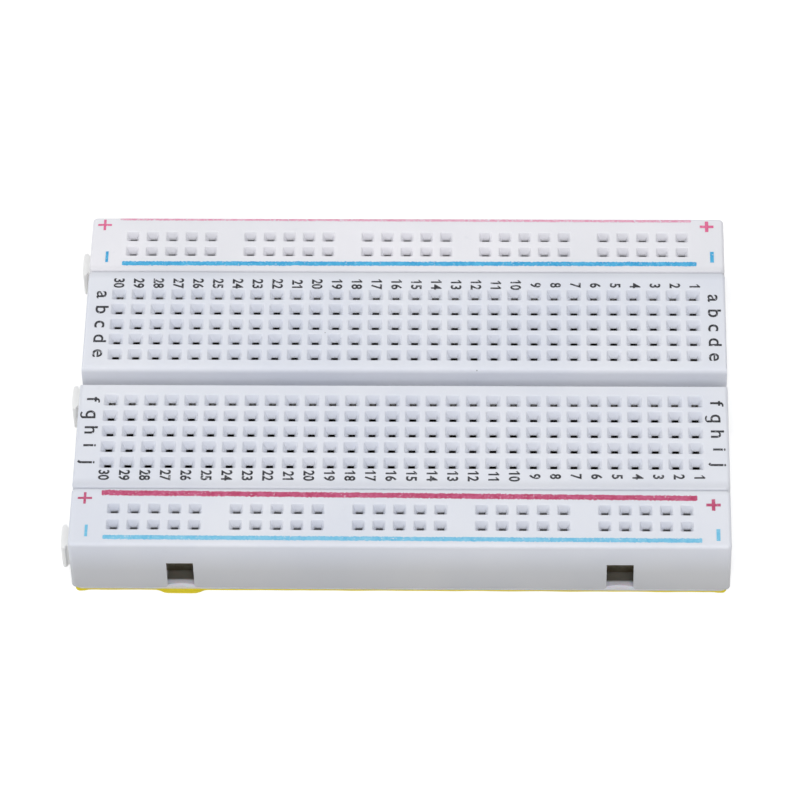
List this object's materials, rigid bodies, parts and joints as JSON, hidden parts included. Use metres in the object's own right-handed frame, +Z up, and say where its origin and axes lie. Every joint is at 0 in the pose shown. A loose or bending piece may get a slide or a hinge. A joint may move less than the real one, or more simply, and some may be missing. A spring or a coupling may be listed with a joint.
{
  "type": "solderless breadboard",
  "caption": "Half-size solderless breadboard: a terminal block with a centre channel between two clip-on power rails, with spring clips inside and foam tape below.",
  "frame": {"origin": "middle of the board on the underside of the release liner, the surface that it stands on", "axes": "+X along the board towards column 1, +Y across it towards row a and the rear power rail, +Z up through the hole face"},
  "size_m": [0.0833, 0.0558, 0.0094],
  "materials": {
    "housing": "satin",
    "contact_metal": "nickel plated spring bronze",
    "foam": "matte closed-cell foam",
    "liner": "waxed paper",
    "ink_red": "printed ink",
    "ink_blue": "printed ink",
    "ink_black": "printed ink"
  },
  "bodies": {
    "liner": {"release_liner": "liner"},
    "base": {"foam_tape": "foam", "front_power_rail": "housing", "front_bus_clip_minus": "contact_metal", "front_bus_clip_plus": "contact_metal"},
    "block": {"terminal_block": "housing", "front_terminal_clip_01": "contact_metal", "front_terminal_clip_02": "contact_metal", "front_terminal_clip_03": "contact_metal", "front_terminal_clip_04": "contact_metal", "front_terminal_clip_05": "contact_metal", "front_terminal_clip_06": "contact_metal", "front_terminal_clip_07": "contact_metal", "front_terminal_clip_08": "contact_metal", "front_terminal_clip_09": "contact_metal", "front_terminal_clip_10": "contact_metal", "front_terminal_clip_11": "contact_metal", "front_terminal_clip_12": "contact_metal", "front_terminal_clip_13": "contact_metal", "front_terminal_clip_14": "contact_metal", "front_terminal_clip_15": "contact_metal", "front_terminal_clip_16": "contact_metal", "front_terminal_clip_17": "contact_metal", "front_terminal_clip_18": "contact_metal", "front_terminal_clip_19": "contact_metal", "front_terminal_clip_20": "contact_metal", "front_terminal_clip_21": "contact_metal", "front_terminal_clip_22": "contact_metal", "front_terminal_clip_23": "contact_metal", "front_terminal_clip_24": "contact_metal", "front_terminal_clip_25": "contact_metal", "rear_terminal_clip_01": "contact_metal", "rear_terminal_clip_02": "contact_metal", "rear_terminal_clip_03": "contact_metal", "rear_terminal_clip_04": "contact_metal", "rear_terminal_clip_05": "contact_metal", "rear_terminal_clip_06": "contact_metal", "rear_terminal_clip_07": "contact_metal", "rear_terminal_clip_08": "contact_metal", "rear_terminal_clip_09": "contact_metal", "rear_terminal_clip_10": "contact_metal", "rear_terminal_clip_11": "contact_metal", "rear_terminal_clip_12": "contact_metal", "rear_terminal_clip_13": "contact_metal", "rear_terminal_clip_14": "contact_metal", "rear_terminal_clip_15": "contact_metal", "rear_terminal_clip_16": "contact_metal", "rear_terminal_clip_17": "contact_metal", "rear_terminal_clip_18": "contact_metal", "rear_terminal_clip_19": "contact_metal", "rear_terminal_clip_20": "contact_metal", "rear_terminal_clip_21": "contact_metal", "rear_terminal_clip_22": "contact_metal", "rear_terminal_clip_23": "contact_metal", "rear_terminal_clip_24": "contact_metal", "rear_terminal_clip_25": "contact_metal"},
    "rear_rail": {"rear_power_rail": "housing", "rear_bus_clip_minus": "contact_metal", "rear_bus_clip_plus": "contact_metal"}
  },
  "joints": [
    {"name": "liner_lift", "type": "slide", "parent": "liner", "child": "base", "axis": [0, 0, 1], "range_m": [0, 0.012]},
    {"name": "block_lift", "type": "slide", "parent": "base", "child": "block", "axis": [0, 0, 1], "range_m": [0, 0.012]},
    {"name": "rear_rail_lift", "type": "slide", "parent": "block", "child": "rear_rail", "axis": [0, 0, 1], "range_m": [0, 0.012]}
  ]
}
